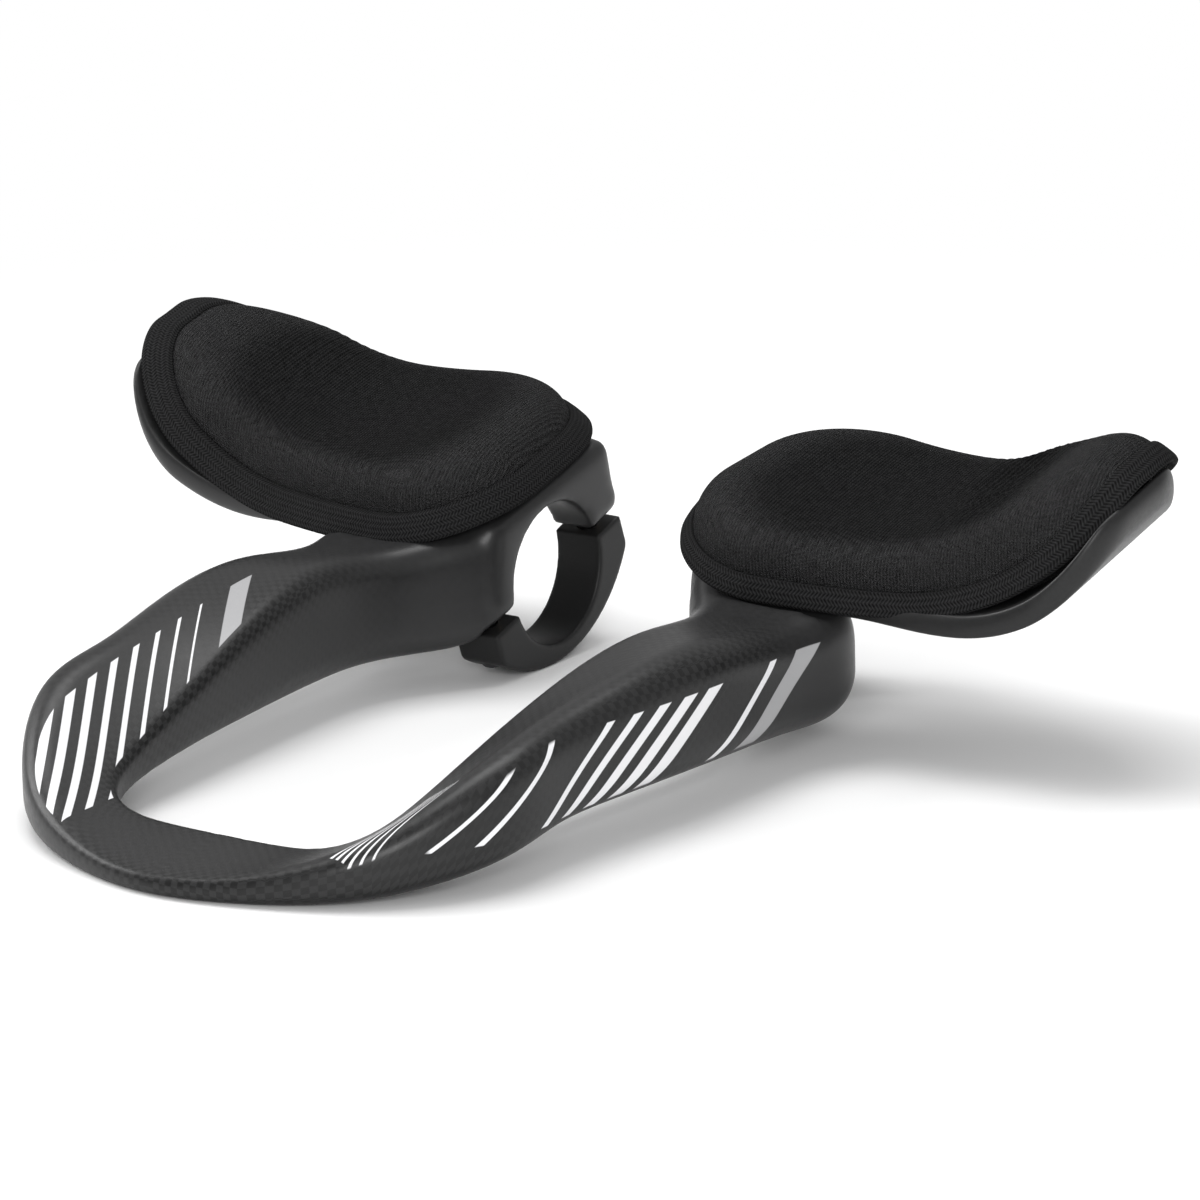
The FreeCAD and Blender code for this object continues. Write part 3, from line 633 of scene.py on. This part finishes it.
# Pad bindings
# A knitted tape is folded over the raw edges of cover and lining and sewn through, so a dark
# groove runs between it and the cushion. It is stuffed by the turned edges inside.
TAPE_HALF = {"left": 3.7, "right": 2.75}
TIP_SLOPE = {"left": 58, "right": 92}
SIDE_SLOPE = 55


def binding_form(side, count):
    """The folded tape as a ring: a flat rounded section that leans out from the seam.

    The section is a superellipse, |a|^3 + |b|^3 = 1, that hangs from the seam. Its long way slopes
    down and out from the seam's dish by 55 degrees, and by more round the ends.
    """
    line = outline(SEAM_CORNERS[side], SEAM_RADII, count)
    along = np.roll(line, -1, 0) - np.roll(line, 1, 0)
    along /= np.linalg.norm(along, axis=1)[:, None]
    turn = np.linspace(0, 2 * math.pi, 32, endpoint=False)[:, None]
    a = np.sign(np.cos(turn)) * np.abs(np.cos(turn)) ** (2 / 3)
    b = np.sign(np.sin(turn)) * np.abs(np.sin(turn)) ** (2 / 3)
    facing_tip, facing_bar = np.maximum(along[:, 1], 0), np.maximum(-along[:, 1], 0)
    slope = np.radians(SIDE_SLOPE + (TIP_SLOPE[side] - SIDE_SLOPE) * facing_tip
                       + 12 * facing_bar ** 2)
    half = TAPE_HALF[side] + 0.3 * facing_tip - 0.5 * facing_bar
    thick, ripple, ripples = 1.2, 0.06, 31
    thick = thick + ripple * np.sin(np.arange(count) * 2 * math.pi / count * ripples)
    outward = (1 + a) * half * np.cos(slope) + b * thick * np.sin(slope)
    upward = 0.5 - (1 + a) * half * np.sin(slope) + b * thick * np.cos(slope)
    x, y = line.T
    lean = lean_of(x, side)
    across = outward * along[:, 1]
    return np.stack([x + across * np.cos(lean) - upward * np.sin(lean), y - outward * along[:, 0],
                     dish(x, *SEAM_DISH[side]) + across * np.sin(lean) + upward * np.cos(lean)], -1)


def tape_finish():
    """Knitted tape: slanting ribs that meet in a fishbone, drawn on lengths along and across it."""
    material, start, shader = new_material("binding_tape", Roughness=0.8, Specular_IOR_Level=0.02)
    along, across = [axis * MM_IN_M for axis in
                     start.split("ShaderNodeUVMap", {"uv_map": "lengths"})[:2]]
    rib_pitch = 0.85
    slanted = along / rib_pitch + across.math("PINGPONG", 1.0) * 1.1
    rib = (slanted * (2 * math.pi)).math("SINE")
    course = (across * (2 * math.pi)).math("SINE")
    yarn = rib * 0.7 + course * 0.3
    level = 0.45 + yarn * 0.35 + (start.noise(0.54, 4.0) - 0.5) * 0.5
    feed(shader, Base_Color=level.mix(grey(0.002), grey(0.036)), Normal=yarn.bump(0.7, 0.22))
    return material


tape = tape_finish()
for side in ("left", "right"):
    binding = grid_piece(side + "_binding", binding_form(side, 360), side, False)
    binding.data.materials.append(tape)
    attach(binding, "root")
    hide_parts(side + "_pad_binding")

# Floor, light and camera
# The bar lies on a pale seamless floor under soft boxes, seen from the front right and above, as a
# catalogue picture shows it.
FLOOR_HALF = 6
MIDDLE = (0, -0.06, 0)
floor_mesh = bpy.data.meshes.new("floor")
floor_mesh.from_pydata([(x * FLOOR_HALF, y * FLOOR_HALF, TABLE)
                        for x, y in ((-1, -1), (1, -1), (1, 1), (-1, 1))], [], [(0, 1, 2, 3)])
floor = bpy.data.objects.new("floor", floor_mesh)
bpy.context.scene.collection.objects.link(floor)
paper, start, shader = new_material("paper", Roughness=0.95, Base_Color=(0.92, 0.92, 0.92, 1))
x, y, _ = start.split("ShaderNodeTexCoord", {}, "Object")
seen = sum(start.node("ShaderNodeLightPath", output=ray)
           for ray in ("Is Camera Ray", "Is Glossy Ray", "Is Transmission Ray"))
from_middle = (x * x + (y - MIDDLE[1]) * (y - MIDDLE[1])).math("SQRT")
lit = from_middle.over(0.32, 0.16) * seen.math("MINIMUM", 1.0)
white_sheet = start.node("ShaderNodeEmission", inputs={"Color": (1, 1, 1, 1), "Strength": 1.0})
surface = start.node("ShaderNodeMixShader", inputs={
    0: lit, 1: Wire(start.tree, shader.outputs[0]), 2: white_sheet})
feed(start.tree.nodes["Material Output"], Surface=surface)
floor_mesh.materials.append(paper)

world = bpy.data.worlds.new("studio")
bpy.context.scene.world = world
world.use_nodes = True
sky = world.node_tree.nodes["Background"]
sky.inputs["Color"].default_value = (1, 1, 1, 1)
sky.inputs["Strength"].default_value = 0.5


def soft_box(name, place, width, height, power):
    """A rectangular lamp at a place, facing the middle of the bar."""
    lamp = bpy.data.lights.new(name, "AREA")
    lamp.shape = "RECTANGLE"
    lamp.size = width
    lamp.size_y = height
    lamp.energy = power
    box = bpy.data.objects.new(name, lamp)
    bpy.context.scene.collection.objects.link(box)
    back = np.array(place, float) - np.array(MIDDLE, float)
    back /= np.linalg.norm(back)
    right = np.cross((0.0, 0.0, 1.0), back)
    right /= np.linalg.norm(right)
    turned = np.column_stack([right, np.cross(back, right), back, place])
    box.matrix_world = Matrix(np.vstack([turned, (0, 0, 0, 1)]))


soft_box("overhead", (-0.2, 0.1, 1.3), 1.0, 0.7, 11)
soft_box("front", (0.9, -1.3, 0.6), 0.7, 0.6, 13)
soft_box("left", (-1.2, -0.3, 0.7), 0.5, 0.8, 9)

AZIMUTH, ELEVATION, ROLL = np.radians((35.3488, 14.8355, -0.3077))
LEVEL = math.radians(1.4)
PIXELS_PER_MM = 4.587826
DISTANCE = 1645.61
SHIFT_RIGHT, SHIFT_UP = 52.192 / PIXELS_PER_MM, 10.217 / PIXELS_PER_MM
FRAME_PIXELS = 1200
SENSOR = 36
right = np.array((math.cos(AZIMUTH), math.sin(AZIMUTH), 0))
up = np.array((-math.sin(ELEVATION) * math.sin(AZIMUTH), math.sin(ELEVATION) * math.cos(AZIMUTH),
               math.cos(ELEVATION)))
back = np.cross(right, up)
eye = back * DISTANCE - right * SHIFT_RIGHT - up * SHIFT_UP
levelled = np.array(((1, 0, 0), (0, math.cos(LEVEL), math.sin(LEVEL)),
                     (0, -math.sin(LEVEL), math.cos(LEVEL))))
rolled_right = right * math.cos(ROLL) + up * math.sin(ROLL)
rolled_up = up * math.cos(ROLL) - right * math.sin(ROLL)
lens = bpy.data.cameras.new("catalogue")
lens.sensor_width = SENSOR
lens.lens = PIXELS_PER_MM * DISTANCE / FRAME_PIXELS * SENSOR
camera = bpy.data.objects.new("catalogue", lens)
bpy.context.scene.collection.objects.link(camera)
axes = levelled @ np.column_stack([rolled_right, rolled_up, back])
camera.matrix_world = Matrix(np.vstack([np.column_stack([axes, levelled @ eye * MM]),
                                        (0, 0, 0, 1)]))
bpy.context.scene.camera = camera
bpy.context.scene.view_settings.view_transform = "Standard"
